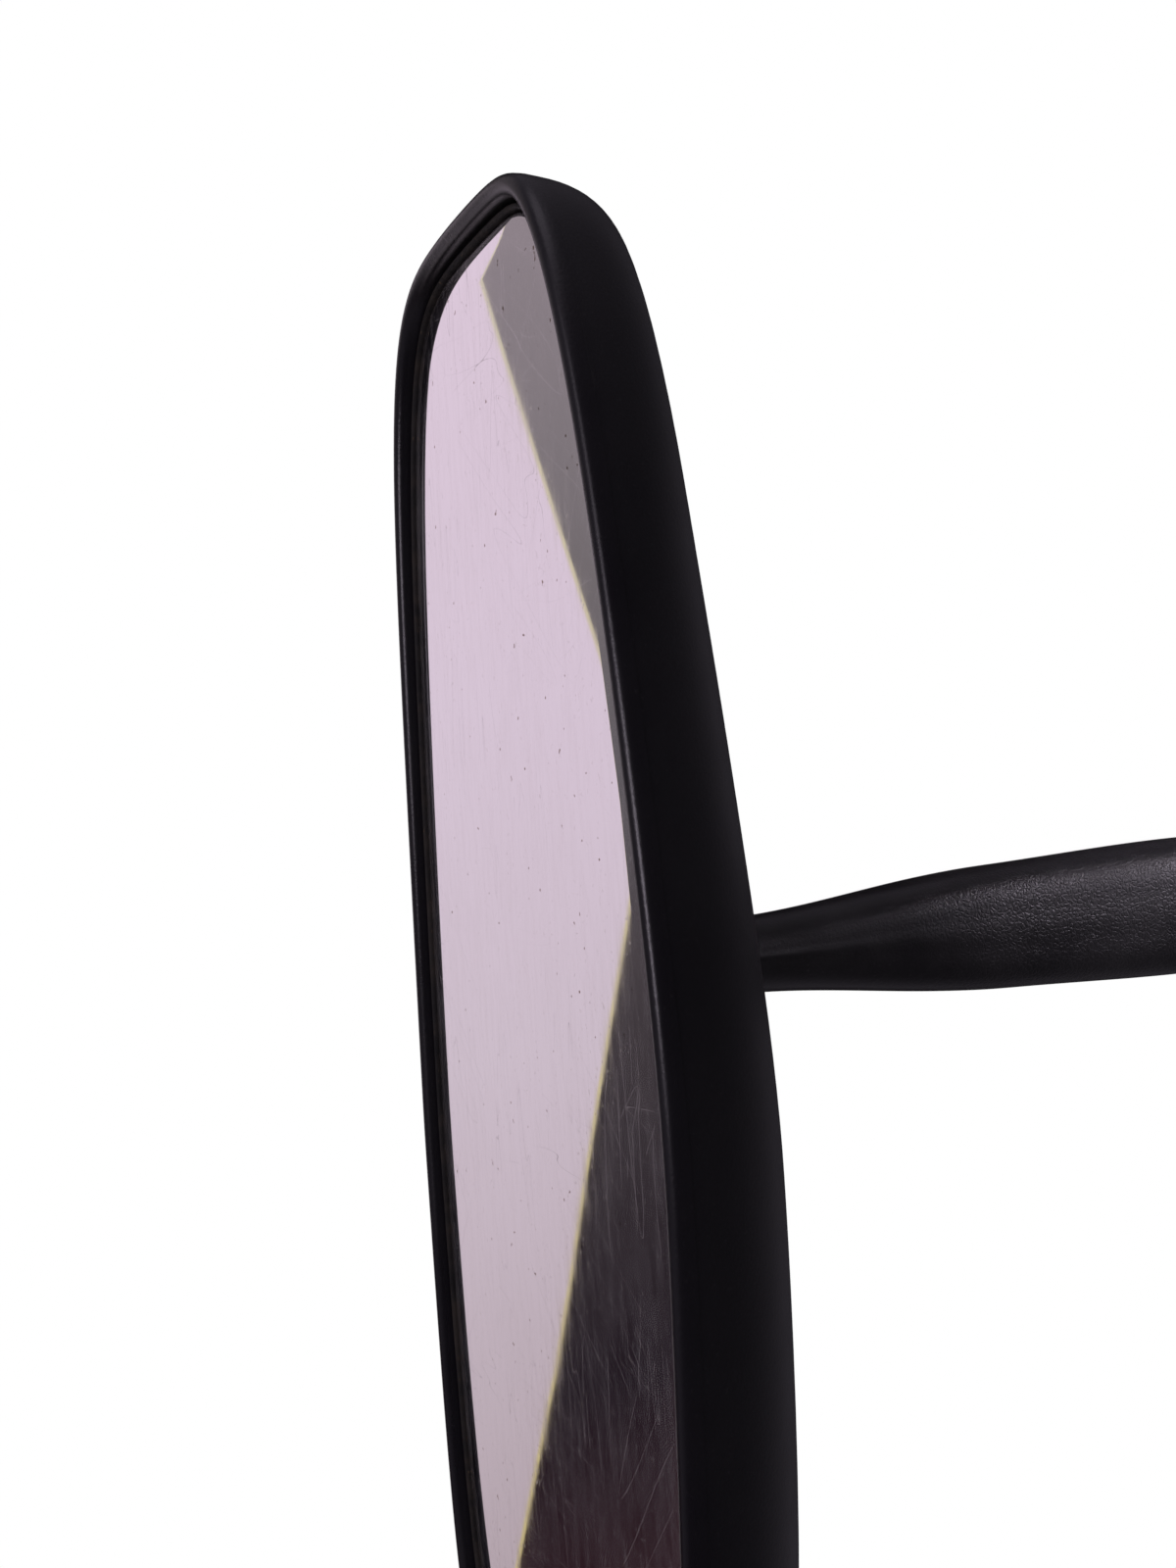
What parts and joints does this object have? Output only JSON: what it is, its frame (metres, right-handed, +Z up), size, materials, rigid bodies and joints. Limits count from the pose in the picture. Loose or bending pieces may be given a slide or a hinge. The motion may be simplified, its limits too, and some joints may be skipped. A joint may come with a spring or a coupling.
{
  "type": "bicycle handlebar mirror",
  "caption": "Long convex rear-view mirror head on a ball joint, with a swan-neck arm in a grained sleeve that folds on a split handlebar clamp",
  "frame": {"origin": "the middle of the handlebar clamp, on the axis of the 22.2 mm handlebar", "axes": "+X points outboard along the handlebar, +Y to the front of the bicycle, +Z up; the glass faces -Y, towards the rider"},
  "size_m": [0.191, 0.1298, 0.2073],
  "materials": {
    "shell_black": "satin black moulded plastic with a fine texture and a glossier rounded lip",
    "mirror_glass": "front of the convex mirror glass, with fine scratches, dust and smudges",
    "gasket_rubber": "matte black rubber with a little brown dirt",
    "pad_foam": "grey closed-cell foam, adhesive on both faces",
    "carrier_plastic": "dark grey moulded plastic",
    "zinc_steel": "zinc-plated steel",
    "ball_steel": "turned steel, blackened and greased",
    "liner_nylon": "natural nylon",
    "sleeve_black": "black moulded sleeve with a leather-like grain and a parting line along its middle",
    "core_steel": "bent steel rod, zinc-plated",
    "cast_black": "die-cast aluminium with a fine black powder coat",
    "shim_rubber": "black rubber liner",
    "bolt_black": "black oxide steel"
  },
  "bodies": {
    "clamp": {"clamp_saddle": "cast_black", "clamp_cap": "cast_black", "bar_shim_upper": "shim_rubber", "bar_shim_lower": "shim_rubber", "clamp_bolt_front": "bolt_black", "clamp_bolt_rear": "bolt_black", "clamp_nut_front": "zinc_steel", "clamp_nut_rear": "zinc_steel", "pivot_bolt": "bolt_black", "spring_washer": "zinc_steel", "pivot_nut": "zinc_steel", "friction_washer_outboard": "liner_nylon", "friction_washer_inboard": "liner_nylon"},
    "arm": {"arm_knuckle": "cast_black", "arm_core": "core_steel", "arm_sleeve": "sleeve_black"},
    "stud": {"ball_stud": "ball_steel"},
    "liner": {"socket_liner": "liner_nylon"},
    "head": {"housing_shell": "shell_black", "mirror_glass": "mirror_glass", "glass_gasket": "gasket_rubber", "foam_pad": "pad_foam", "glass_carrier": "carrier_plastic", "retainer_plate": "carrier_plastic", "retainer_screw_1": "zinc_steel", "retainer_screw_2": "zinc_steel", "retainer_screw_3": "zinc_steel"}
  },
  "joints": [
    {"name": "arm_fold", "type": "hinge", "parent": "clamp", "child": "arm", "pos_m": [0, 0.008, 0.026], "axis": [1, 0, 0], "range_deg": [-65, 30]},
    {"name": "head_roll", "type": "hinge", "parent": "arm", "child": "stud", "pos_m": [0, -0.06464, 0.14704], "axis": [0, 1, 0], "continuous": true},
    {"name": "head_tilt", "type": "hinge", "parent": "stud", "child": "liner", "pos_m": [0, -0.06464, 0.14704], "axis": [1, 0, 0], "range_deg": [-12, 12]},
    {"name": "head_pan", "type": "hinge", "parent": "liner", "child": "head", "pos_m": [0, -0.06464, 0.14704], "axis": [0, 0, 1], "range_deg": [-15, 15]}
  ]
}
